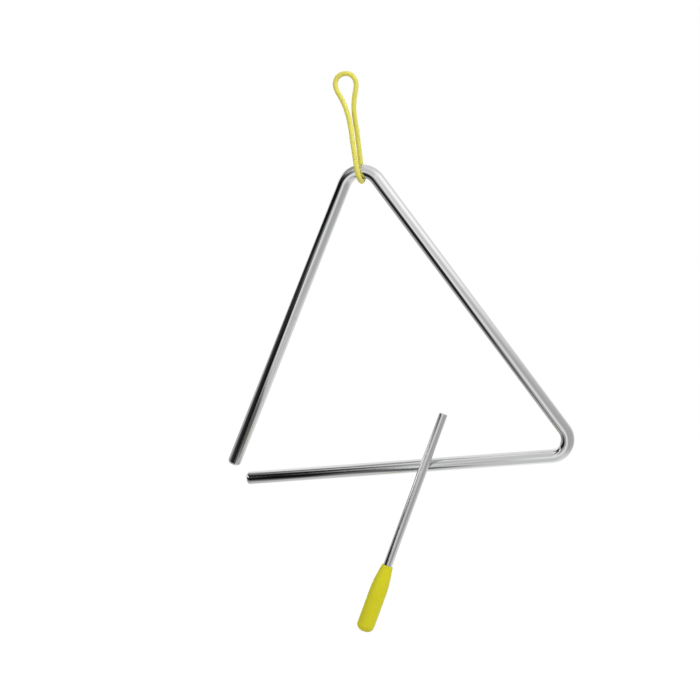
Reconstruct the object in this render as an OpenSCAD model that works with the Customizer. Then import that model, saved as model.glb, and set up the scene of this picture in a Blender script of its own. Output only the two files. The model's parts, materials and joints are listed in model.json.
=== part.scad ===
// Triangle instrument: a bent chromed rod that hangs in a cord loop, with its straight beater.
// Millimetres, +Z up. The origin is under the top of the loop, where it is held.
// The triangle hangs in the XZ plane, and the beater crosses its lower bar on the -Y side.

/* [Triangle rod] */
// Side of the triangle, between the sharp corners of the rod's centre line
side_len = 200; // [150:5:250]
// Diameter of the round rod
rod_d = 7.5; // [6:0.5:8]
// Centre-line radius of the top bend, which hangs in the loop
apex_bend_r = 10.5; // [8:0.5:14]
// Centre-line radius of the closed lower corner
corner_bend_r = 9.5; // [8:0.5:14]
// Distance from the open corner to the end of the hanging leg
leg_cut = 10.6; // [9:0.2:16]
// Distance from the open corner to the end of the lower bar
bar_cut = 12.3; // [9:0.1:16]
// Length of the rounding at each cut end
nose_len = 1.8; // [1:0.1:3]
// Depth of that rounding, from the rod's wall to the rim of the end face
nose_depth = 1.2; // [0.5:0.1:2]

/* [Hanging loop] */
// Diameter of the loop's round cord
cord_d = 2.7; // [1.6:0.1:3]
// Running gap between the cord and the rod that hangs in it
cord_gap = 0.35; // [0.2:0.05:0.5]

/* [Beater rod] */
// Diameter of the beater's rod
beater_d = 5; // [4:0.25:6]
// Bare length of the beater's rod, from its tip to the grip
bare_len = 88; // [60:2:160]
// Rounding of the rod's tip, and of its end inside the grip
tip_round = 0.7; // [0.3:0.1:1.2]

/* [Beater grip] */
// Length of the grip
grip_len = 38; // [34:1:80]
// Diameter of the grip's straight part
grip_d = 9.6; // [8:0.2:14]
// Diameter of the grip where the rod enters it
mouth_d = 6.2; // [6:0.1:7.6]
// Length of the taper behind the mouth
taper_len = 16; // [10:1:20]
// Rounding of the lip round the mouth
lip_r = 0.4; // [0.2:0.05:0.5]
// Rounding of the grip's butt end
butt_round = 3.6; // [1:0.2:3.8]
// Solid length behind the blind bore
butt_wall = 7; // [4:1:12]
// Stretch-fit clearance between the bore and the rod, on the radius
grip_fit = 0.05; // [0.02:0.01:0.1]

/* [Beater place] */
// Distance from the loop's vertical to where the beater crosses the bar
strike_x = 13; // [-30:1:40]
// Length of the beater beyond the crossing, up to its tip
tip_reach = 30; // [15:1:50]
// Running gap between the beater and the bar that it lies against
strike_gap = 0.8; // [0.2:0.1:6]
// Sideways lean of the beater, in degrees from upright
beater_lean = 26; // [0:1:45]
// Slope of the beater towards the front, in degrees
beater_slope = 15; // [0:1:25]

/* [Hidden] */
$fn = 64;

half_turn = 180;
quarter_turn = 90;
corner_angle = half_turn / 3;
bend_angle = half_turn - corner_angle;

// How finely the round shapes are drawn.
rod_sides = 32;
bend_steps = 20;
nose_steps = 5;
cord_sides = 8;
arc_steps = 6;
taper_steps = 8;

// The middle line of the closed loop: from under the rod up the front strand, round the eye that
// it is held by, and down the back strand to the last point before the first.
loop_line = [
    [0.85, 0, -55.45], [0.8, -2.1, -55.03], [0.7, -3.88, -53.88], [0.6, -5.03, -52.1], [0.5, -5.45, -50],
    [0.3, -5.35, -47], [0.2, -5, -43], [0.1, -4.45, -38.5], [-0.1, -3.7, -34], [-0.2, -2.95, -29.5],
    [-0.4, -2.1, -25], [-0.9, -1.5, -20.5], [-1.7, -0.9, -16.5], [-2.7, -0.5, -13],
    [-3.9, -0.2, -9.8], [-5.1, 0, -7], [-5.6, 0, -4.2], [-5.2, 0, -2.1], [-4, 0, -0.2],
    [-2.1, 0, 1], [0, 0, 1.35], [2.1, 0, 1], [4, 0, -0.2], [5.2, 0, -2.1], [5.6, 0, -4.2],
    [5.1, 0.1, -7], [4.1, 0.2, -9.8], [3.1, 0.5, -13], [2.3, 0.9, -16.5], [1.8, 1.5, -20.5],
    [1.6, 2.1, -25], [1.5, 2.85, -29.5], [1.2, 3.6, -34], [0.9, 4.35, -38.5], [0.6, 5, -43],
    [0.5, 5.35, -47], [0.8, 5.45, -50], [0.9, 5.03, -52.1], [0.9, 3.88, -53.88], [0.9, 2.1, -55.03]
];
loop_foot = min([for (p = loop_line) p.z]);
loop_head = max([for (p = loop_line) p.z]);

// The triangle's own plane: across is its x, up is its y, and its top bend is centred on zero.
rod_r = rod_d / 2;
top_corner = [0, apex_bend_r / sin(corner_angle / 2)];
foot = side_len * cos(corner_angle / 2);
right_corner = top_corner + [side_len / 2, -foot];
open_corner = top_corner + [-side_len / 2, -foot];
leg_end = toward(open_corner, top_corner, leg_cut);
bar_end = toward(open_corner, right_corner, bar_cut);
right_centre = right_corner
    + corner_bend_r / sin(corner_angle / 2) * [-cos(corner_angle / 2), sin(corner_angle / 2)];

// Centre of mass of the bent rod: each straight and each bend weighs as much as it is long.
stretches = [
    straight_mass(leg_end, toward(top_corner, open_corner, tangent_len(apex_bend_r))),
    bend_mass(top_corner, [0, 0], apex_bend_r),
    straight_mass(toward(top_corner, right_corner, tangent_len(apex_bend_r)),
                  toward(right_corner, top_corner, tangent_len(corner_bend_r))),
    bend_mass(right_corner, right_centre, corner_bend_r),
    straight_mass(toward(right_corner, open_corner, tangent_len(corner_bend_r)), bar_end)
];
rod_len = total([for (s = stretches) s[0]]);
balance = total([for (s = stretches) s[0] * s[1]]) / rod_len;
// The bend slides in the loop until the centre of mass hangs straight under it.
hang_angle = atan2(balance.x, -balance.y);

// The rod rests one gap above the inner side of the loop's foot.
hang_z = loop_foot + cord_d / 2 + cord_gap + rod_r;
bend_z = hang_z - apex_bend_r;

// The bar's centre line under the strike point, once the triangle has been turned to hang.
bar_z = bend_z + (open_corner.y - strike_x * sin(hang_angle)) / cos(hang_angle);
strike_off = rod_r + strike_gap + beater_d / 2;
mouth_z = tip_reach - bare_len;
bore_r = beater_d / 2 + grip_fit;

function unit(v) = v / norm(v);
function total(list, i = 0) = i == len(list) - 1 ? list[i] : list[i] + total(list, i + 1);
function toward(from, to, distance) = from + distance * unit(to - from);
function tangent_len(radius) = radius / tan(corner_angle / 2);
function straight_mass(from, to) = [norm(to - from), (from + to) / 2];
function bend_mass(corner, centre, radius) =
    let (half_arc = bend_angle / 2 * PI / half_turn,
         mass_share = sin(bend_angle / 2) / half_arc)
    [2 * radius * half_arc, centre + radius * mass_share * unit(corner - centre)];
function arc(centre, radius, from, to) = [
    for (i = [0 : arc_steps])
        let (a = from + (to - from) * i / arc_steps)
        centre + radius * [cos(a), sin(a)]
];

// Walls between the rings of a tube, each a pair of triangles, up to the last ring named.
// Where that is the last ring of all, its walls close on the first.
function wall_point(i, k, rings, sides) = (i % rings) * sides + k % sides;
function walls(rings, sides, last_ring) = [
    for (i = [0 : last_ring], k = [0 : sides - 1]) each [
        [wall_point(i, k, rings, sides),
         wall_point(i + 1, k, rings, sides),
         wall_point(i + 1, k + 1, rings, sides)],
        [wall_point(i, k, rings, sides),
         wall_point(i + 1, k + 1, rings, sides),
         wall_point(i, k + 1, rings, sides)]
    ]
];
function ring(centre, side, rise, radius, sides) = [
    for (k = [0 : sides - 1])
        let (turn = 2 * half_turn * k / sides)
        centre + radius * (cos(turn) * side + sin(turn) * rise)
];

// Stations along the rod, each with its place in the plane, its heading and its radius.
// An end is rounded as a quarter of an ellipse, from the rim of its face out to the rod's wall.
function nose_stations(end, heading, inward) = [
    for (i = [0 : nose_steps])
        let (a = quarter_turn * i / nose_steps)
        [end + inward * nose_len * (1 - cos(a)) * [cos(heading), sin(heading)],
         heading,
         rod_r - nose_depth * (1 - sin(a))]
];
function bend_stations(centre, radius, from) = [
    for (i = [0 : bend_steps])
        let (a = from - bend_angle * i / bend_steps)
        [centre + radius * [cos(a), sin(a)], a - quarter_turn, rod_r]
];
function backwards(list) = [for (i = [len(list) - 1 : -1 : 0]) list[i]];

module triangle_rod() {
    stations = concat(
        nose_stations(leg_end, corner_angle, 1),
        bend_stations([0, 0], apex_bend_r, half_turn - corner_angle / 2),
        bend_stations(right_centre, corner_bend_r, corner_angle / 2),
        backwards(nose_stations(bar_end, half_turn, -1))
    );
    last = len(stations) - 1;
    points = [
        for (s = stations) each ring(
            [s[0].x, 0, s[0].y], [-sin(s[1]), 0, cos(s[1])], [0, -1, 0], s[2], rod_sides)
    ];
    leg_face = [for (k = [0 : rod_sides - 1]) k];
    bar_face = [for (k = [rod_sides - 1 : -1 : 0]) last * rod_sides + k];
    color("silver")
        translate([0, 0, bend_z])
            rotate([0, hang_angle, 0])
                polyhedron(
                    points = points,
                    faces = concat(
                        walls(last + 1, rod_sides, last - 1),
                        [leg_face, bar_face]
                    )
                );
}

// The loop makes a quarter turn between the rod and its eye, and its sides turn with it.
function side_heading(p) = quarter_turn * (p.z - loop_foot) / (loop_head - loop_foot);
function square_to(v, along) = unit(v - along * (v * along));
function loop_ring(i) =
    let (count = len(loop_line),
         p = loop_line[i],
         along = unit(loop_line[(i + 1) % count] - loop_line[(i + count - 1) % count]),
         side = square_to([cos(side_heading(p)), sin(side_heading(p)), 0], along))
    ring(p, side, cross(along, side), cord_d / 2, cord_sides);

module hanging_loop() {
    last = len(loop_line) - 1;
    color("gold")
        polyhedron(
            points = [for (i = [0 : last]) each loop_ring(i)],
            faces = walls(last + 1, cord_sides, last)
        );
}

// Places a piece of the beater, which is drawn along +Z with the strike point at zero.
module place_beater() {
    translate([strike_x, 0, bar_z])
        rotate([-beater_slope, 0, 0])
            translate([0, -strike_off, 0])
                rotate([0, beater_lean, 0])
                    children();
}

module beater_rod() {
    butt_z = mouth_z - grip_len + butt_wall;
    flat_r = beater_d / 2 - tip_round;
    color("silver")
        place_beater()
            rotate_extrude()
                polygon(concat(
                    [[0, butt_z]],
                    arc([flat_r, butt_z + tip_round], tip_round, -quarter_turn, 0),
                    arc([flat_r, tip_reach - tip_round], tip_round, 0, quarter_turn),
                    [[0, tip_reach]]
                ));
}

// The grip's wall narrows to its mouth along a quarter of a sine wave, so it leaves
// the straight part without a corner.
function taper_wall() = [
    for (i = [0 : taper_steps - 1])
        let (share = i / taper_steps)
        [mouth_d / 2 + (grip_d - mouth_d) / 2 * cos(quarter_turn * share),
         grip_len - taper_len + (taper_len - lip_r) * share]
];

module beater_grip() {
    color("yellow")
        place_beater()
            translate([0, 0, mouth_z - grip_len])
                rotate_extrude()
                    polygon(concat(
                        [[0, 0]],
                        arc([grip_d / 2 - butt_round, butt_round], butt_round, -quarter_turn, 0),
                        taper_wall(),
                        arc([mouth_d / 2 - lip_r, grip_len - lip_r], lip_r, 0, quarter_turn),
                        [[bore_r, grip_len], [bore_r, butt_wall], [0, butt_wall]]
                    ));
}

triangle_rod();
hanging_loop();
beater_rod();
beater_grip();
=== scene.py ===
"""Looks for a triangle instrument: a bent chromed rod in a soft cord loop, with its straight beater.

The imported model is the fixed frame. Each rigid piece is modelled again over its solid with the mesh
tools, so that the chrome has a smooth skin to mirror the studio in, and then stands for that solid.
"""

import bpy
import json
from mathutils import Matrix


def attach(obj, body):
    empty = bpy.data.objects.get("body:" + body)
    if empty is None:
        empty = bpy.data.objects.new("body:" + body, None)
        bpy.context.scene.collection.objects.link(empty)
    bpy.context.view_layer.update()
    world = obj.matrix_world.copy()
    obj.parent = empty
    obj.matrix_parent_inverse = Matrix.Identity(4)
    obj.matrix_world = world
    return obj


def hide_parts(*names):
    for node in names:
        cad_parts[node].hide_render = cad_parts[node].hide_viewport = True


bl_info = {
    "name": "Triangle Instrument",
    "version": (1, 0, 0),
    "blender": (4, 5, 0),
    "location": "View3D > Sidebar > Triangle",
    "description": "Models and finishes a triangle instrument, its hanging loop and its beater",
    "category": "Add Mesh",
}

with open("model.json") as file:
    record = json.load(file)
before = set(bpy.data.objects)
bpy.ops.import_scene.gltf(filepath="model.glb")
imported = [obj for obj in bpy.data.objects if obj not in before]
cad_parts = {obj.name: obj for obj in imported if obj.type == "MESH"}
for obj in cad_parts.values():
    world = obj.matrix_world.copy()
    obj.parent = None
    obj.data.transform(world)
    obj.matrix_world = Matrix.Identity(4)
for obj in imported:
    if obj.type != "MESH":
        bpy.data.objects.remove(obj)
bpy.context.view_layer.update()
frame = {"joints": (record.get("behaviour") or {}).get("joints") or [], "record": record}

import json
import math

import bpy
from bpy.props import FloatProperty, FloatVectorProperty, IntProperty, PointerProperty
from mathutils import Matrix, Vector
from mathutils.kdtree import KDTree

# The triangle's corners are equal, and a bend turns the rod through the outside angle of one.
CORNER_ANGLE = math.radians(60)
BEND_ANGLE = math.pi - CORNER_ANGLE

# Steps round a bend, round a rounded edge and along the grip's taper.
BEND_STEPS = 32
ROUNDING_STEPS = 8
TAPER_STEPS = 16

# Points closer than the first are merged, and flatter edges than the second are shaded smooth.
MERGE_DISTANCE = 0.000002
SMOOTH_ANGLE = math.radians(40)

# Each piece keeps where its points would be if it were pulled straight, from a middle line in short steps.
PULLED_STRAIGHT = "pulled_straight"
LINE_STEP = 0.001

# The middle line of the closed loop: from under the rod up the front strand, round the eye that
# it is held by, and down the back strand to the last point before the first.
LOOP_LINE = (
    (0.00085, 0, -0.05545), (0.0008, -0.0021, -0.05503), (0.0007, -0.00388, -0.05388),
    (0.0006, -0.00503, -0.0521), (0.0005, -0.00545, -0.05), (0.0003, -0.00535, -0.047),
    (0.0002, -0.005, -0.043), (0.0001, -0.00445, -0.0385), (-0.0001, -0.0037, -0.034),
    (-0.0002, -0.00295, -0.0295), (-0.0004, -0.0021, -0.025), (-0.0009, -0.0015, -0.0205),
    (-0.0017, -0.0009, -0.0165), (-0.0027, -0.0005, -0.013), (-0.0039, -0.0002, -0.0098),
    (-0.0051, 0, -0.007), (-0.0056, 0, -0.0042), (-0.0052, 0, -0.0021), (-0.004, 0, -0.0002),
    (-0.0021, 0, 0.001), (0, 0, 0.00135), (0.0021, 0, 0.001), (0.004, 0, -0.0002),
    (0.0052, 0, -0.0021), (0.0056, 0, -0.0042), (0.0051, 0.0001, -0.007), (0.0041, 0.0002, -0.0098),
    (0.0031, 0.0005, -0.013), (0.0023, 0.0009, -0.0165), (0.0018, 0.0015, -0.0205),
    (0.0016, 0.0021, -0.025), (0.0015, 0.00285, -0.0295), (0.0012, 0.0036, -0.034),
    (0.0009, 0.00435, -0.0385), (0.0006, 0.005, -0.043), (0.0005, 0.00535, -0.047),
    (0.0008, 0.00545, -0.05), (0.0009, 0.00503, -0.0521), (0.0009, 0.00388, -0.05388),
    (0.0009, 0.0021, -0.05503),
)

# How much light goes into the two yellow skins, and how many metres its red, green and blue spread.
SKIN_LIGHT = 0.06
SKIN_DEPTH = (0.002, 0.0016, 0.0004)

# The camera's sensor in millimetres, and the distance in metres from which it sees.
SENSOR_WIDTH = 36
CLIP_START = 0.01

# The lamps hang about the studio's middle. Each has degrees round from the front towards +X,
# degrees up, and watts.
STUDIO_MIDDLE = Vector((0, 0, -0.15))
LAMP_DISTANCE = 1.6
LAMP_WIDTH = 0.9
LAMPS = {
    "key_lamp": (65, 35, 17.5),
    "fill_lamp": (-45, 15, 6),
    "back_lamp": (190, 25, 9),
}

# The plain light of the world, and the floor's own colour, its glow to the lens and the glow's share.
SOFT_LIGHT = 0.42
FLOOR_PALE = 0.85
FLOOR_GLOW = 1.12
FLOOR_GLOW_SHARE = 0.85

# The room that the chrome mirrors. Each soft box has the light that it adds, or takes away where
# that is below zero, the same two angles as a lamp, and its spread. It fades by a power of how near
# a ray points to it: the fall, over the spread squared. Each card has the two angles, then metres
# and degrees. Its plane is longer and wider than it by the margin, counted in widths of its soft
# edge, so that the edge can fade out.
BOX_FALL = 4
CARD_MARGIN = 10
ROOM_WHITE = 1.04
ROOM_SLOPE = (-0.47, 0.016, -0.074)
SOFT_BOXES = (
    (1.25, 80, 7.33, 0.779),
    (-1.47, 46.3, -10.9, 0.413),
    (2.48, -42.2, 21.5, 0.319),
)
STUDIO_CARDS = {
    "far_flag": {
        "heading": -55.3, "height": -12.1, "distance": 5.57, "width": 8.98, "length": 6.88,
        "edge": 0.08, "tilt": 10.7, "light": 0.042},
    "near_flag": {
        "heading": -46.1, "height": -18, "distance": 0.165, "width": 0.0946, "length": 0.228,
        "edge": 0.014, "tilt": 0.438, "light": 0.0057},
    "low_flag": {
        "heading": -19.5, "height": -48.2, "distance": 0.166, "width": 0.0539, "length": 0.127,
        "edge": 0.0041, "tilt": -22.5, "light": 0.17},
    "side_card": {
        "heading": -94.7, "height": -29.9, "distance": 0.378, "width": 0.752, "length": 0.393,
        "edge": 0.034, "tilt": 57.9, "light": 0.5},
    "high_flag": {
        "heading": -48.1, "height": 34.3, "distance": 0.391, "width": 0.415, "length": 0.186,
        "edge": 0.02, "tilt": 17.5, "light": 0.0021},
    "right_card": {
        "heading": 75.4, "height": -11.7, "distance": 0.312, "width": 0.634, "length": 0.487,
        "edge": 0.046, "tilt": 3.15, "light": 0.55},
    "low_card": {
        "heading": 2.72, "height": -23.1, "distance": 0.176, "width": 0.0629, "length": 0.102,
        "edge": 0.0076, "tilt": -0.713, "light": 0.65},
    "front_card": {
        "heading": -4.63, "height": 38, "distance": 1.34, "width": 1.14, "length": 1.05,
        "edge": 0.0068, "tilt": -51.2, "light": 0.81},
    "edge_flag": {
        "heading": -81.8, "height": 39.5, "distance": 0.191, "width": 0.245, "length": 0.0676,
        "edge": 0.013, "tilt": -58.9, "light": 0.011},
    "left_card": {
        "heading": -25.5, "height": 7.01, "distance": 0.446, "width": 0.214, "length": 0.105,
        "edge": 0.014, "tilt": -6.75, "light": 0.43},
    "top_card": {
        "heading": -86.8, "height": 75.5, "distance": 0.177, "width": 0.106, "length": 0.0695,
        "edge": 0.0038, "tilt": -18, "light": 0.41},
    "foot_card": {
        "heading": -18.4, "height": -62.4, "distance": 0.241, "width": 0.333, "length": 0.257,
        "edge": 0.012, "tilt": -10.7, "light": 0.79},
}


def joint(name):
    """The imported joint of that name."""
    return next(j for j in frame["joints"] if j["name"] == name)


def mount(name):
    """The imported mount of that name."""
    return next(m for m in frame["record"]["mounts"] if m["name"] == name)


# sizes and colours


class TriangleSizes(bpy.types.PropertyGroup):
    """Sizes of the bent rod."""

    side: FloatProperty(
        name="Side", description="Side of the triangle, between the sharp corners of its centre line",
        default=0.2, min=0.15, max=0.25, unit="LENGTH")
    thickness: FloatProperty(
        name="Rod", description="Diameter of the round rod", default=0.0075, unit="LENGTH")
    top_bend: FloatProperty(
        name="Top bend", description="Centre-line radius of the bend that hangs in the loop",
        default=0.0105, unit="LENGTH")
    corner_bend: FloatProperty(
        name="Corner bend", description="Centre-line radius of the closed lower corner",
        default=0.0095, unit="LENGTH")
    leg_cut: FloatProperty(
        name="Leg cut", description="Distance from the open corner to the end of the leg",
        default=0.0106, unit="LENGTH")
    bar_cut: FloatProperty(
        name="Bar cut", description="Distance from the open corner to the end of the lower bar",
        default=0.0123, unit="LENGTH")
    nose: FloatProperty(
        name="Nose", description="Length of the rounding at each cut end",
        default=0.0018, unit="LENGTH")
    nose_depth: FloatProperty(
        name="Nose depth", description="Depth of that rounding, from the wall to the end face",
        default=0.0012, unit="LENGTH")
    facets: IntProperty(
        name="Facets", description="Sides of the rod's section", default=64, min=16, max=128)


class LoopSizes(bpy.types.PropertyGroup):
    """Sizes of the hanging loop."""

    thickness: FloatProperty(
        name="Cord", description="Diameter of the round cord", default=0.0027, unit="LENGTH")
    steps: IntProperty(
        name="Steps", description="Rings of the cord between two points of its route",
        default=6, min=1, max=12)
    facets: IntProperty(
        name="Facets", description="Sides of the cord's section", default=14, min=8, max=48)


class BeaterSizes(bpy.types.PropertyGroup):
    """Sizes of the beater and its grip."""

    thickness: FloatProperty(
        name="Rod", description="Diameter of the beater's rod", default=0.005, unit="LENGTH")
    bare_length: FloatProperty(
        name="Bare length", description="Length of the rod from its tip to the grip",
        default=0.088, unit="LENGTH")
    tip_round: FloatProperty(
        name="Tip rounding", description="Rounding of the edge of the rod's tip",
        default=0.0007, unit="LENGTH")
    grip_length: FloatProperty(
        name="Grip", description="Length of the grip", default=0.038, unit="LENGTH")
    grip_thickness: FloatProperty(
        name="Grip width", description="Diameter of the grip's straight part",
        default=0.0096, unit="LENGTH")
    mouth: FloatProperty(
        name="Mouth", description="Diameter of the grip where the rod enters it",
        default=0.0062, unit="LENGTH")
    taper: FloatProperty(
        name="Taper", description="Length of the taper behind the mouth",
        default=0.016, unit="LENGTH")
    lip: FloatProperty(
        name="Lip", description="Rounding of the lip round the mouth",
        default=0.0004, unit="LENGTH")
    butt_round: FloatProperty(
        name="Butt rounding", description="Rounding of the grip's butt end",
        default=0.0036, unit="LENGTH")
    butt_wall: FloatProperty(
        name="Butt wall", description="Solid length behind the blind bore",
        default=0.007, unit="LENGTH")
    fit: FloatProperty(
        name="Fit", description="Clearance between the bore and the rod, on the radius",
        default=0.00005, unit="LENGTH")
    facets: IntProperty(
        name="Facets", description="Sides of the round sections", default=64, min=16, max=128)


class FinishColours(bpy.types.PropertyGroup):
    """Colours of the finishes."""

    chrome: FloatVectorProperty(
        name="Chrome", description="Colour that bright chrome plating reflects",
        default=(0.65, 0.652, 0.658), subtype="COLOR", min=0, max=1)
    loop_yellow: FloatVectorProperty(
        name="Loop", description="Colour of the soft cord",
        default=(0.79, 0.73, 0.125), subtype="COLOR", min=0, max=1)
    loop_rubbed: FloatVectorProperty(
        name="Rubbed loop", description="Paler colour where the cord's skin is rubbed",
        default=(0.86, 0.82, 0.3), subtype="COLOR", min=0, max=1)
    grip_yellow: FloatVectorProperty(
        name="Grip", description="Colour of the dipped sleeve",
        default=(0.69, 0.65, 0.012), subtype="COLOR", min=0, max=1)


class StudioSizes(bpy.types.PropertyGroup):
    """Places in the studio."""

    camera_place: FloatVectorProperty(
        name="Camera", description="Place of the camera", default=(0.1725, -0.7259, -0.0185),
        subtype="TRANSLATION", unit="LENGTH")
    camera_target: FloatVectorProperty(
        name="Target", description="Point in the middle of the picture",
        default=(-0.0221, 0.0081, -0.1462), subtype="TRANSLATION", unit="LENGTH")
    camera_roll: FloatProperty(
        name="Roll", description="Turn of the camera about its own line of sight",
        default=math.radians(-8.9), subtype="ANGLE")
    camera_lens: FloatProperty(
        name="Lens", description="Focal length on a sensor 36 mm wide", default=72, unit="CAMERA")
    floor_drop: FloatProperty(
        name="Floor", description="Height of the loop's top over the floor", default=1.1, unit="LENGTH")
    floor_width: FloatProperty(
        name="Floor width", description="Width of the floor", default=12, unit="LENGTH")


SIZE_GROUPS = {
    "triangle_sizes": TriangleSizes,
    "loop_sizes": LoopSizes,
    "beater_sizes": BeaterSizes,
    "finish_colours": FinishColours,
    "studio_sizes": StudioSizes,
}


# shader nodes


class Value:
    """A number socket in a material or world: arithmetic on it adds the Math nodes."""

    def __init__(self, finish, socket):
        self.finish = finish
        self.socket = socket

    def _math(self, operation, *values):
        node = self.finish.node("ShaderNodeMath", {"operation": operation}, dict(enumerate(values)))
        return Value(self.finish, node.outputs[0])

    def __add__(self, other):
        return self._math("ADD", self, other)

    def __sub__(self, other):
        return self._math("SUBTRACT", self, other)

    def __rsub__(self, other):
        return self._math("SUBTRACT", other, self)

    def __mul__(self, other):
        return self._math("MULTIPLY", self, other)

    def __rtruediv__(self, other):
        return self._math("DIVIDE", other, self)

    def __pow__(self, other):
        return self._math("POWER", self, other)

    def __rpow__(self, other):
        return self._math("POWER", other, self)

    def __abs__(self):
        return self._math("ABSOLUTE", self)

    __radd__ = __add__
    __rmul__ = __mul__

    def spread(self, low, high):
        """Runs smoothly from 0 at low to 1 at high."""
        node = self.finish.node(
            "ShaderNodeMapRange", {"interpolation_type": "SMOOTHSTEP"},
            {"Value": self, "From Min": low, "From Max": high})
        return Value(self.finish, node.outputs[0])


class Finish:
    """One material or world, and the nodes that make it."""

    def __init__(self, owner):
        owner.use_nodes = True
        self.owner = owner
        self.nodes = owner.node_tree.nodes
        self.links = owner.node_tree.links
        self.nodes.clear()

    def node(self, kind, settings=None, sockets=None):
        """Adds a node, sets what it is, and then fills or links its sockets."""
        node = self.nodes.new(kind)
        for name, value in (settings or {}).items():
            setattr(node, name, value)
        for name, value in (sockets or {}).items():
            if isinstance(value, Value):
                value = value.socket
            if isinstance(value, bpy.types.NodeSocket):
                self.links.new(value, node.inputs[name])
            else:
                node.inputs[name].default_value = value
        return node

    def value(self, kind, settings=None, sockets=None, output=0):
        """Adds a node and wraps one of its outputs for arithmetic."""
        return Value(self, self.node(kind, settings, sockets).outputs[output])

    def place(self):
        """The point on the object."""
        return self.node("ShaderNodeTexCoord").outputs["Object"]

    def drawn_out(self, times):
        """The point on the piece pulled straight, for a pattern that is drawn out along it."""
        mark = self.node("ShaderNodeAttribute", {"attribute_name": PULLED_STRAIGHT})
        mapping = self.node(
            "ShaderNodeMapping", {"vector_type": "TEXTURE"},
            {"Vector": mark.outputs["Vector"], "Scale": (1, 1, times)})
        return mapping.outputs[0]

    def seen(self):
        """1 where the lens looks, straight or through glass, and 0 elsewhere."""
        rays = self.node("ShaderNodeLightPath")
        straight = Value(self, rays.outputs["Is Camera Ray"])
        through = Value(self, rays.outputs["Is Transmission Ray"])
        return (straight + through).spread(0, 1)

    def noise(self, place, scale, detail=3, roughness=0.5, distortion=0):
        """Soft random patches, from 0 to 1."""
        return self.value(
            "ShaderNodeTexNoise", {},
            {"Vector": place, "Scale": scale, "Detail": detail, "Roughness": roughness,
             "Distortion": distortion})

    def blend(self, share, first, second):
        """A colour between two colours. The node's colour sockets can only be told by number."""
        node = self.node(
            "ShaderNodeMix", {"data_type": "RGBA"}, {"Factor": share, 6: first, 7: second})
        return node.outputs[2]

    def bump(self, height, depth):
        """A normal from a height in shares of a depth in metres."""
        node = self.node("ShaderNodeBump", {}, {"Height": height, "Distance": depth, "Strength": 1})
        return node.outputs[0]

    def surface(self, shader):
        """Ends the material or world in a shader."""
        ends_world = isinstance(self.owner, bpy.types.World)
        kind = "ShaderNodeOutputWorld" if ends_world else "ShaderNodeOutputMaterial"
        self.node(kind, {}, {"Surface": shader.outputs[0]})
        return self.owner


def shade(colour, share=1):
    """The colour made lighter or darker, and opaque."""
    return (*(min(1, c * share) for c in colour), 1)


# finishes


def chrome_finish(name, colour, roughness):
    """Bright plating over a drawn rod: faint draw lines along it, soft waves, smudges and pin pricks."""
    finish = Finish(bpy.data.materials.new(name))
    plain = finish.place()
    draw_lines = finish.noise(finish.drawn_out(60), scale=2400, detail=3, roughness=0.6)
    waves = finish.noise(finish.drawn_out(9), scale=210, detail=1)
    smudges = finish.noise(plain, scale=85, detail=5, roughness=0.6, distortion=0.6)
    smudges = smudges.spread(low=0.52, high=0.75)
    pricks = finish.noise(plain, scale=1900, detail=1).spread(low=0.78, high=0.82)
    # Each number is the share of the bump's depth that one kind of mark takes.
    height = draw_lines * 0.008 + waves * 0.2 - pricks * 0.05
    shader = finish.node(
        "ShaderNodeBsdfPrincipled", {},
        {"Base Color": finish.blend(smudges * 0.2 + pricks * 0.3, shade(colour), shade(colour, 0.86)),
         "Metallic": 1.0,
         "Roughness": draw_lines * 0.02 + smudges * 0.05 + pricks * 0.1 + roughness,
         "Normal": finish.bump(height, depth=0.00004)})
    return finish.surface(shader)


def cord_finish(colour, rubbed_colour):
    """Soft drawn cord: a slight gloss, faint lines along it and a paler rubbed skin."""
    finish = Finish(bpy.data.materials.new("loop_cord"))
    tone_drift = finish.noise(finish.drawn_out(4), scale=420, detail=3)
    rubbed = finish.noise(finish.drawn_out(3), scale=900, detail=4).spread(low=0.55, high=0.75)
    lines = finish.noise(finish.drawn_out(30), scale=3600, detail=2)
    waves = finish.noise(finish.drawn_out(3), scale=330, detail=1)
    tone = finish.blend(tone_drift, shade(colour, 0.97), shade(colour, 1.03))
    shader = finish.node(
        "ShaderNodeBsdfPrincipled", {},
        {"Base Color": finish.blend(rubbed * 0.06, tone, shade(rubbed_colour)),
         "Roughness": tone_drift * 0.06 + rubbed * 0.06 + 0.3,
         "Specular IOR Level": 0.4,
         "Subsurface Weight": SKIN_LIGHT,
         "Subsurface Radius": SKIN_DEPTH,
         "Normal": finish.bump(waves + lines * 0.1, depth=0.000012)})
    return finish.surface(shader)


def grip_finish(colour):
    """Dipped sleeve: satin skin with fine orange peel, slow sags and darker handled patches."""
    finish = Finish(bpy.data.materials.new("grip_sleeve"))
    plain = finish.place()
    tone_drift = finish.noise(plain, scale=130, detail=3)
    handled = finish.noise(plain, scale=360, detail=5, roughness=0.6, distortion=0.4)
    handled = handled.spread(low=0.58, high=0.78)
    peel = finish.noise(plain, scale=2000, detail=1)
    sag = finish.noise(finish.drawn_out(3), scale=300, detail=1)
    tone = finish.blend(tone_drift, shade(colour, 0.95), shade(colour, 1.05))
    shader = finish.node(
        "ShaderNodeBsdfPrincipled", {},
        {"Base Color": finish.blend(handled * 0.15, tone, shade(colour, 0.84)),
         "Roughness": handled * 0.1 + tone_drift * 0.08 + 0.4,
         "Specular IOR Level": 0.22,
         "Subsurface Weight": SKIN_LIGHT,
         "Subsurface Radius": SKIN_DEPTH,
         "Normal": finish.bump(sag + peel * 0.12, depth=0.00005)})
    return finish.surface(shader)


# modelling


def deselect_all():
    """Leaves edit mode and lets go of everything."""
    if bpy.context.object and bpy.context.object.mode != "OBJECT":
        bpy.ops.object.mode_set(mode="OBJECT")
    bpy.ops.object.select_all(action="DESELECT")


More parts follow.
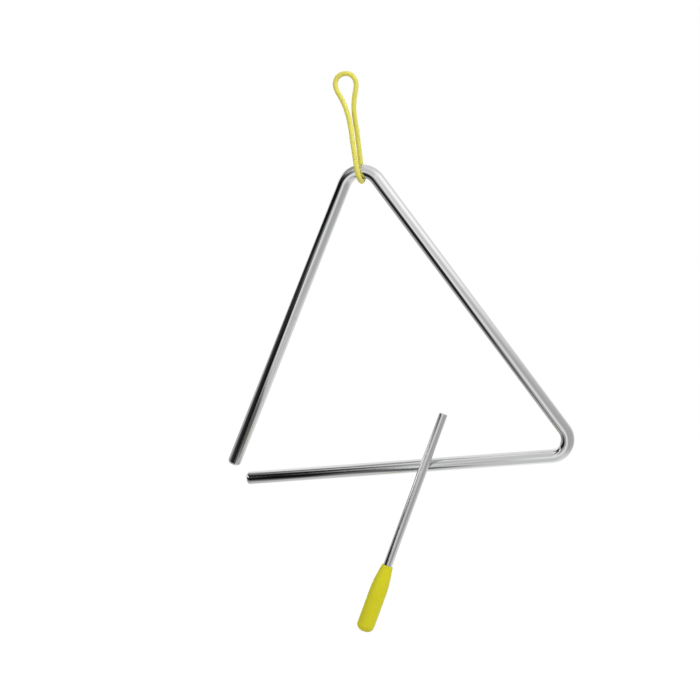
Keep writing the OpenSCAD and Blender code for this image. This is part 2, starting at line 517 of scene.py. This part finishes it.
def start_disc(name, radius, sides, place, turn):
    """Starts a piece as a filled disc, left open in edit mode with the disc selected."""
    deselect_all()
    bpy.ops.mesh.primitive_circle_add(
        vertices=sides, radius=radius, fill_type="NGON", location=place,
        rotation=turn.to_euler())
    piece = bpy.context.object
    piece.name = name
    bpy.ops.object.transform_apply(location=True, rotation=True, scale=True)
    bpy.ops.object.mode_set(mode="EDIT")
    bpy.ops.mesh.select_all(action="SELECT")
    return piece


def pull(move, scale=1.0, centre=None):
    """Extrudes the selected face by a move, and scales it about its new centre."""
    bpy.ops.mesh.extrude_region_move(TRANSFORM_OT_translate={"value": move})
    if centre is not None:
        bpy.ops.transform.resize(value=(scale, scale, scale), center_override=centre)


def mark_straight(piece, line):
    """Keeps where each point of a piece would be if its middle line were pulled straight up Z."""
    ways = [(after - before).normalized() for before, after in zip(line, line[1:])]
    ways.append(ways[-1])
    sideways = [ways[0].orthogonal().normalized()]
    for before, after in zip(ways, ways[1:]):
        carried = before.rotation_difference(after) @ sideways[-1]
        sideways.append((carried - after * carried.dot(after)).normalized())
    reach = [0]
    for before, after in zip(line, line[1:]):
        reach.append(reach[-1] + (after - before).length)
    nearest = KDTree(len(line))
    for i, point in enumerate(line):
        nearest.insert(point, i)
    nearest.balance()
    places = []
    for vertex in piece.data.vertices:
        point, i, _ = nearest.find(vertex.co)
        off = vertex.co - point
        places.extend((
            off.dot(sideways[i]), off.dot(ways[i].cross(sideways[i])), reach[i] + off.dot(ways[i])))
    mark = piece.data.attributes.new(PULLED_STRAIGHT, "FLOAT_VECTOR", "POINT")
    mark.data.foreach_set("vector", places)


def fill_in(start, end):
    """Points at short even steps from a start up to an end, which is left out."""
    count = max(1, round((end - start).length / LINE_STEP))
    return [start.lerp(end, i / count) for i in range(count)]


def finish_piece(piece, line, body, node, material):
    """Closes the modelling of a piece, which then rides on its body and stands for its solid."""
    bpy.ops.mesh.select_all(action="SELECT")
    bpy.ops.mesh.remove_doubles(threshold=MERGE_DISTANCE)
    bpy.ops.mesh.normals_make_consistent(inside=False)
    bpy.ops.object.mode_set(mode="OBJECT")
    deselect_all()
    piece.select_set(True)
    bpy.context.view_layer.objects.active = piece
    bpy.ops.object.shade_smooth_by_angle(angle=SMOOTH_ANGLE)
    mark_straight(piece, line)
    dress(piece, material)
    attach(piece, body)
    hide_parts(node)


def dress(piece, material):
    """Gives a piece its one material."""
    piece.data.materials.clear()
    piece.data.materials.append(material)


# the bent rod


class TriangleOutline:
    """The rod's centre line in the triangle's own plane, with its top bend centred on zero."""

    def __init__(self, sizes):
        half_side = sizes.side / 2
        foot = sizes.side * math.cos(CORNER_ANGLE / 2)
        self.top = Vector((0, sizes.top_bend / math.sin(CORNER_ANGLE / 2)))
        self.closed = self.top + Vector((half_side, -foot))
        self.open = self.top + Vector((-half_side, -foot))
        self.leg_end = self.toward(self.open, self.top, sizes.leg_cut)
        self.bar_end = self.toward(self.open, self.closed, sizes.bar_cut)
        self.closed_centre = self.closed + sizes.corner_bend / math.sin(CORNER_ANGLE / 2) * Vector(
            (-math.cos(CORNER_ANGLE / 2), math.sin(CORNER_ANGLE / 2)))
        # A bend runs from its sharp corner by this many times its radius, on both sides.
        run = 1 / math.tan(CORNER_ANGLE / 2)
        self.leg_top = self.toward(self.top, self.open, sizes.top_bend * run)
        self.right_top = self.toward(self.top, self.closed, sizes.top_bend * run)
        self.right_foot = self.toward(self.closed, self.top, sizes.corner_bend * run)
        self.bar_start = self.toward(self.closed, self.open, sizes.corner_bend * run)

    @staticmethod
    def toward(start, end, distance):
        """The point at a distance from a start towards an end."""
        return start + distance * (end - start).normalized()

    @staticmethod
    def bend_mass(corner, centre, radius):
        """A bend's length and the centre of its mass."""
        half_arc = BEND_ANGLE / 2
        share = math.sin(half_arc) / half_arc
        return 2 * radius * half_arc, centre + radius * share * (corner - centre).normalized()

    def walk(self):
        """The centre line in short steps, from the end of the leg to the end of the bar."""
        return (
            fill_in(self.leg_end, self.leg_top)
            + self.bend(Vector((0, 0)), self.leg_top)
            + fill_in(self.right_top, self.right_foot)
            + self.bend(self.closed_centre, self.right_foot)
            + fill_in(self.bar_start, self.bar_end)
            + [self.bar_end])

    @staticmethod
    def bend(centre, start):
        """Points round a centre, through the outside angle of a corner."""
        turns = [Matrix.Rotation(-BEND_ANGLE * i / BEND_STEPS, 2) for i in range(BEND_STEPS)]
        return [centre + turn @ (start - centre) for turn in turns]

    def hang_angle(self, sizes):
        """How far the rod tilts until its centre of mass hangs straight under the loop."""
        stretches = [
            ((end - start).length, (start + end) / 2)
            for start, end in (
                (self.leg_end, self.leg_top),
                (self.right_top, self.right_foot),
                (self.bar_start, self.bar_end))
        ]
        stretches.append(self.bend_mass(self.top, Vector((0, 0)), sizes.top_bend))
        stretches.append(self.bend_mass(self.closed, self.closed_centre, sizes.corner_bend))
        total = sum(length for length, centre in stretches)
        balance = sum((length * centre for length, centre in stretches), Vector((0, 0))) / total
        return math.atan2(balance.x, -balance.y)


class OBJECT_OT_bent_rod(bpy.types.Operator):
    """Bends the chromed rod into its triangle, from the end of the hanging leg to the end of the bar"""

    bl_idname = "triangle.bent_rod"
    bl_label = "Bent Rod"

    def execute(self, context):
        sizes = context.scene.triangle_sizes
        line = TriangleOutline(sizes)
        pivot = Vector(joint("triangle_swing")["pos_m"])
        to_row = (
            Matrix.Translation(pivot - Vector((0, 0, sizes.top_bend)))
            @ Matrix.Rotation(line.hang_angle(sizes), 4, "Y"))

        def place(point):
            return to_row @ Vector((point.x, 0, point.y))

        def way(start, end):
            return (place(end) - place(start)).normalized()

        radius = sizes.thickness / 2
        leg_way = way(line.leg_end, line.leg_top)
        turn = Matrix.Rotation(math.pi / 2 - CORNER_ANGLE + line.hang_angle(sizes), 4, "Y")
        rim = radius - sizes.nose_depth
        piece = start_disc("bent_rod", rim, sizes.facets, place(line.leg_end), turn)
        nose = self.nose_stations(sizes)
        self.pull_through(place(line.leg_end), leg_way, nose)
        pull(place(line.leg_top) - place(line.leg_end) - leg_way * sizes.nose)
        self.spin(place(Vector((0, 0))))
        pull(place(line.right_foot) - place(line.right_top))
        self.spin(place(line.closed_centre))
        bar_way = way(line.bar_start, line.bar_end)
        pull(place(line.bar_end) - place(line.bar_start) - bar_way * sizes.nose)
        outward = [(sizes.nose - along, wall) for along, wall in reversed(nose)]
        self.pull_through(place(line.bar_end) - bar_way * sizes.nose, bar_way, outward)
        chrome = chrome_finish(
            "triangle_chrome", context.scene.finish_colours.chrome, roughness=0.02)
        middle = [place(point) for point in line.walk()]
        finish_piece(piece, middle, "triangle", "triangle_rod", chrome)
        return {"FINISHED"}

    @staticmethod
    def nose_stations(sizes):
        """Distance from the end face and radius, along a quarter of an ellipse."""
        radius = sizes.thickness / 2
        turns = [math.pi / 2 * i / ROUNDING_STEPS for i in range(ROUNDING_STEPS + 1)]
        return [
            (sizes.nose * (1 - math.cos(turn)), radius - sizes.nose_depth * (1 - math.sin(turn)))
            for turn in turns
        ]

    @staticmethod
    def pull_through(start, heading, stations):
        """Pulls the selected face through a row of stations."""
        for (before, wall), (after, next_wall) in zip(stations, stations[1:]):
            pull(heading * (after - before), next_wall / wall, start + heading * after)

    @staticmethod
    def spin(centre):
        """Bends the selected face round a centre, through the outside angle of a corner."""
        bpy.ops.mesh.spin(
            steps=BEND_STEPS, angle=-BEND_ANGLE, center=centre, axis=(0, 1, 0), use_auto_merge=False)


# the hanging loop


def smooth_ring(points, steps):
    """More points on a closed Catmull-Rom curve, which runs smoothly through the given ones."""
    count = len(points)
    ring = []
    for i in range(count):
        before, start, end, after = (points[(i + k) % count] for k in (-1, 0, 1, 2))
        for step in range(steps):
            t = step / steps
            ring.append(0.5 * (
                2 * start + (end - before) * t
                + (2 * before - 5 * start + 4 * end - after) * t * t
                + (3 * start - before - 3 * end + after) * t * t * t))
    return ring


class OBJECT_OT_hanging_loop(bpy.types.Operator):
    """Lays the soft cord in its closed loop, under the rod and up to its eye"""

    bl_idname = "triangle.hanging_loop"
    bl_label = "Hanging Loop"

    def execute(self, context):
        sizes = context.scene.loop_sizes
        ring = smooth_ring([Vector(point) for point in LOOP_LINE], sizes.steps)
        line = bpy.data.curves.new("hanging_cord", "CURVE")
        line.dimensions = "3D"
        line.bevel_depth = sizes.thickness / 2
        # A round bevel has 4 sides, and 2 more for each step of its resolution.
        line.bevel_resolution = sizes.facets // 2 - 2
        line.use_fill_caps = False
        spline = line.splines.new("POLY")
        spline.points.add(len(ring) - 1)
        for point, place in zip(spline.points, ring):
            point.co = (*place, 1)
        spline.use_cyclic_u = True
        piece = bpy.data.objects.new("hanging_cord", line)
        context.scene.collection.objects.link(piece)
        deselect_all()
        piece.select_set(True)
        context.view_layer.objects.active = piece
        bpy.ops.object.convert(target="MESH")
        piece = context.object
        bpy.ops.object.mode_set(mode="EDIT")
        bpy.ops.mesh.select_all(action="SELECT")
        bpy.ops.mesh.normals_make_consistent(inside=False)
        bpy.ops.object.mode_set(mode="OBJECT")
        bpy.ops.object.shade_smooth()
        path = ring + ring[:1]
        mark_straight(piece, path)
        colours = context.scene.finish_colours
        dress(piece, cord_finish(colours.loop_yellow, colours.loop_rubbed))
        length = sum((b - a).length for a, b in zip(path, path[1:]))
        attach(piece, "loop")
        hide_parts("hanging_loop")
        return {"FINISHED"}


# the beater


class BeaterPlace:
    """Where the beater lies: its axis, and points along it measured up from the grip's butt end."""

    def __init__(self, sizes):
        grip = mount("beater_grip")
        self.up = -Vector(grip["axis"]).normalized()
        straight = sizes.grip_length - sizes.taper - sizes.butt_round
        self.butt = Vector(grip["pos_m"]) - self.up * (sizes.butt_round + straight / 2)
        self.turn = self.up.to_track_quat("Z", "Y").to_matrix().to_4x4()

    def at(self, height):
        """The point at that height up the axis."""
        return self.butt + self.up * height

    def middle_line(self, height):
        """The axis in short steps, from the butt end up to a height."""
        return fill_in(self.at(0), self.at(height)) + [self.at(height)]


def turn_piece(name, place, stations, sides):
    """Turns a round piece up its axis through stations, each a height and a radius."""
    height, radius = stations[0]
    piece = start_disc(name, radius, sides, place.at(height), place.turn)
    for (before, wall), (after, next_wall) in zip(stations, stations[1:]):
        pull(place.up * (after - before), next_wall / wall, place.at(after))
    return piece


def arc(centre, radius, start, end):
    """Heights and radii round a quarter circle, between two angles in degrees."""
    height, wall = centre
    turns = [
        math.radians(start + (end - start) * i / ROUNDING_STEPS) for i in range(ROUNDING_STEPS + 1)]
    return [(height + radius * math.sin(turn), wall + radius * math.cos(turn)) for turn in turns]


class OBJECT_OT_beater_rod(bpy.types.Operator):
    """Turns the beater's straight rod, with rounded edges at both ends"""

    bl_idname = "triangle.beater_rod"
    bl_label = "Beater Rod"

    def execute(self, context):
        sizes = context.scene.beater_sizes
        place = BeaterPlace(sizes)
        radius = sizes.thickness / 2
        flat = radius - sizes.tip_round
        tip = sizes.grip_length + sizes.bare_length
        stations = (
            arc((sizes.butt_wall + sizes.tip_round, flat), sizes.tip_round, -90, 0)
            + arc((tip - sizes.tip_round, flat), sizes.tip_round, 0, 90))
        piece = turn_piece("beater_shaft", place, stations, sizes.facets)
        chrome = chrome_finish(
            "beater_chrome", context.scene.finish_colours.chrome, roughness=0.025)
        middle = place.middle_line(tip)
        finish_piece(piece, middle, "beater", "beater_rod", chrome)
        return {"FINISHED"}


class OBJECT_OT_beater_grip(bpy.types.Operator):
    """Turns the sleeve grip, with its taper, its lip and the bore that the rod sits in"""

    bl_idname = "triangle.beater_grip"
    bl_label = "Beater Grip"

    def execute(self, context):
        sizes = context.scene.beater_sizes
        place = BeaterPlace(sizes)
        wide = sizes.grip_thickness / 2
        mouth = sizes.mouth / 2
        taper_foot = sizes.grip_length - sizes.taper
        taper_rise = sizes.taper - sizes.lip
        taper = [
            (taper_foot + taper_rise * i / TAPER_STEPS,
             mouth + (wide - mouth) * math.cos(math.pi / 2 * i / TAPER_STEPS))
            for i in range(TAPER_STEPS)
        ]
        bore = sizes.thickness / 2 + sizes.fit
        stations = (
            arc((sizes.butt_round, wide - sizes.butt_round), sizes.butt_round, -90, 0)
            + taper
            + arc((sizes.grip_length - sizes.lip, mouth - sizes.lip), sizes.lip, 0, 90)
            + [(sizes.grip_length, bore), (sizes.butt_wall, bore)])
        piece = turn_piece("beater_sleeve", place, stations, sizes.facets)
        finish_piece(
            piece, place.middle_line(sizes.grip_length), "beater", "beater_grip",
            grip_finish(context.scene.finish_colours.grip_yellow))
        return {"FINISHED"}


# the studio


def camera_turn(place, target, roll):
    """The turn that looks from a place to a target, rolled about the line of sight."""
    look = (target - place).to_track_quat("-Z", "Y").to_matrix()
    return look @ Matrix.Rotation(roll, 3, "Z")


class SCENE_OT_studio_camera(bpy.types.Operator):
    """Sets the camera at the picture's viewing angle"""

    bl_idname = "triangle.studio_camera"
    bl_label = "Camera"

    def execute(self, context):
        sizes = context.scene.studio_sizes
        place, target = Vector(sizes.camera_place), Vector(sizes.camera_target)
        camera = bpy.data.cameras.new("studio_camera")
        camera.lens = sizes.camera_lens
        camera.sensor_width = SENSOR_WIDTH
        camera.clip_start = CLIP_START
        holder = bpy.data.objects.new("studio_camera", camera)
        holder.matrix_world = (
            Matrix.Translation(place)
            @ camera_turn(place, target, sizes.camera_roll).to_4x4())
        context.scene.collection.objects.link(holder)
        context.scene.camera = holder
        return {"FINISHED"}


def direction(heading, height):
    """The way to a place in the room: degrees round from the front towards +X, and degrees up."""
    heading, height = math.radians(heading), math.radians(height)
    return Vector((
        math.cos(height) * math.sin(heading),
        -math.cos(height) * math.cos(heading),
        math.sin(height)))


def facing(way, tilt):
    """The turn of a card that faces back along a way, tilted about it."""
    normal = -way
    across = Vector((0, 0, 1)).cross(normal).normalized()
    turn = Matrix((across, normal.cross(across), normal)).transposed()
    return turn @ Matrix.Rotation(tilt, 3, "Z")


class SCENE_OT_studio(bpy.types.Operator):
    """Lays the pale floor and hangs the soft lamps and the cards that the chrome mirrors"""

    bl_idname = "triangle.studio"
    bl_label = "Studio"

    def execute(self, context):
        sizes = context.scene.studio_sizes
        context.scene.view_settings.view_transform = "Standard"
        context.scene.world = self.sky()
        self.floor(sizes)
        for name, card in STUDIO_CARDS.items():
            self.card(name, **card)
        for name, (heading, height, power) in LAMPS.items():
            self.lamp(name, direction(heading, height), power)
        return {"FINISHED"}

    @staticmethod
    def sky():
        """White to the lens, plain and soft on the rest, and with bright soft boxes for the metal."""
        finish = Finish(bpy.data.worlds.new("studio_sky"))
        way = finish.node("ShaderNodeTexCoord").outputs["Generated"]

        def along(toward):
            return finish.value(
                "ShaderNodeVectorMath", {"operation": "DOT_PRODUCT"}, {0: way, 1: toward}, output=1)

        mirrored = along(ROOM_SLOPE) + ROOM_WHITE
        for light, heading, height, spread in SOFT_BOXES:
            nearness = (along(direction(heading, height)) + 1) * 0.5
            mirrored = mirrored + nearness ** (BOX_FALL / spread ** 2) * light
        metal = finish.value("ShaderNodeLightPath", output="Is Glossy Ray")
        plain = finish.seen() * (1 - SOFT_LIGHT) + SOFT_LIGHT
        strength = plain + metal * (mirrored - plain)
        light = finish.node(
            "ShaderNodeBackground", {}, {"Color": (1, 1, 1, 1), "Strength": strength})
        return finish.surface(light)

    @staticmethod
    def floor(sizes):
        """A pale floor that is white to the lens and still takes the shadow."""
        deselect_all()
        bpy.ops.mesh.primitive_plane_add(
            size=sizes.floor_width, location=(0, 0, -sizes.floor_drop))
        floor = bpy.context.object
        floor.name = "studio_floor"
        finish = Finish(bpy.data.materials.new("studio_floor"))
        pale = finish.node("ShaderNodeBsdfDiffuse", {}, {"Color": (FLOOR_PALE, FLOOR_PALE, FLOOR_PALE, 1)})
        glow = finish.node("ShaderNodeEmission", {}, {"Color": (1, 1, 1, 1), "Strength": FLOOR_GLOW})
        mixed = finish.node(
            "ShaderNodeMixShader", {},
            {0: finish.seen() * FLOOR_GLOW_SHARE, 1: pale.outputs[0], 2: glow.outputs[0]})
        dress(floor, finish.surface(mixed))
        floor.visible_glossy = False

    @staticmethod
    def card(name, heading, height, distance, width, length, edge, tilt, light):
        """Hangs a soft-edged card that nothing but bright metal mirrors."""
        way = direction(heading, height)
        deselect_all()
        bpy.ops.mesh.primitive_plane_add(
            size=1, location=STUDIO_MIDDLE + way * distance,
            rotation=facing(way, math.radians(tilt)).to_euler())
        card = bpy.context.object
        card.name = name
        reach = Vector((width, length)) + Vector((edge, edge)) * CARD_MARGIN
        card.scale = (*reach, 1)
        bpy.ops.object.transform_apply(location=True, rotation=True, scale=True)
        finish = Finish(bpy.data.materials.new(name))
        sides = finish.node(
            "ShaderNodeSeparateXYZ", {}, {0: finish.node("ShaderNodeTexCoord").outputs["UV"]})
        middle = 0.5
        cover = 1
        for side, size, whole in zip(sides.outputs, (width, length), reach):
            off_middle = abs(Value(finish, side) - middle) * (whole / edge)
            cover = 1 / (1 + math.e ** (off_middle - size / 2 / edge)) * cover
        clear = finish.node("ShaderNodeBsdfTransparent")
        lit = finish.node(
            "ShaderNodeEmission", {}, {"Color": (1, 1, 1, 1), "Strength": light})
        mixed = finish.node(
            "ShaderNodeMixShader", {}, {0: cover, 1: clear.outputs[0], 2: lit.outputs[0]})
        dress(card, finish.surface(mixed))
        for kind in ("camera", "diffuse", "transmission", "volume_scatter", "shadow"):
            setattr(card, "visible_" + kind, False)

    @staticmethod
    def lamp(name, way, power):
        """Hangs a broad soft lamp that the metal doesn't mirror."""
        light = bpy.data.lights.new(name, "AREA")
        light.energy = power
        light.size = LAMP_WIDTH
        holder = bpy.data.objects.new(name, light)
        # A lamp shines from its back, where a card glows from its front.
        holder.matrix_world = (
            Matrix.Translation(STUDIO_MIDDLE + way * LAMP_DISTANCE) @ facing(-way, 0).to_4x4())
        holder.visible_glossy = False
        bpy.context.scene.collection.objects.link(holder)


# panel and start

OPERATORS = (
    SCENE_OT_studio_camera,
    OBJECT_OT_hanging_loop,
    OBJECT_OT_bent_rod,
    OBJECT_OT_beater_rod,
    OBJECT_OT_beater_grip,
    SCENE_OT_studio,
)


class VIEW3D_PT_triangle(bpy.types.Panel):
    """The sizes and steps of the instrument, in the 3D view's sidebar"""

    bl_idname = "VIEW3D_PT_triangle"
    bl_label = "Triangle Instrument"
    bl_space_type = "VIEW_3D"
    bl_region_type = "UI"
    bl_category = "Triangle"

    def draw(self, context):
        for group in SIZE_GROUPS:
            sizes = getattr(context.scene, group)
            column = self.layout.column(align=True)
            for name in sizes.bl_rna.properties.keys():
                if name not in ("name", "rna_type"):
                    column.prop(sizes, name)
        for operator in OPERATORS:
            self.layout.operator(operator.bl_idname)


CLASSES = (*SIZE_GROUPS.values(), *OPERATORS, VIEW3D_PT_triangle)


def register():
    for made in CLASSES:
        bpy.utils.register_class(made)
    for name, group in SIZE_GROUPS.items():
        setattr(bpy.types.Scene, name, PointerProperty(type=group))


def unregister():
    for name in SIZE_GROUPS:
        delattr(bpy.types.Scene, name)
    for made in reversed(CLASSES):
        bpy.utils.unregister_class(made)


def main():
    register()
    bpy.ops.triangle.studio_camera()
    bpy.ops.triangle.hanging_loop()
    bpy.ops.triangle.bent_rod()
    bpy.ops.triangle.beater_rod()
    bpy.ops.triangle.beater_grip()
    bpy.ops.triangle.studio()


if __name__ == "__main__":
    main()
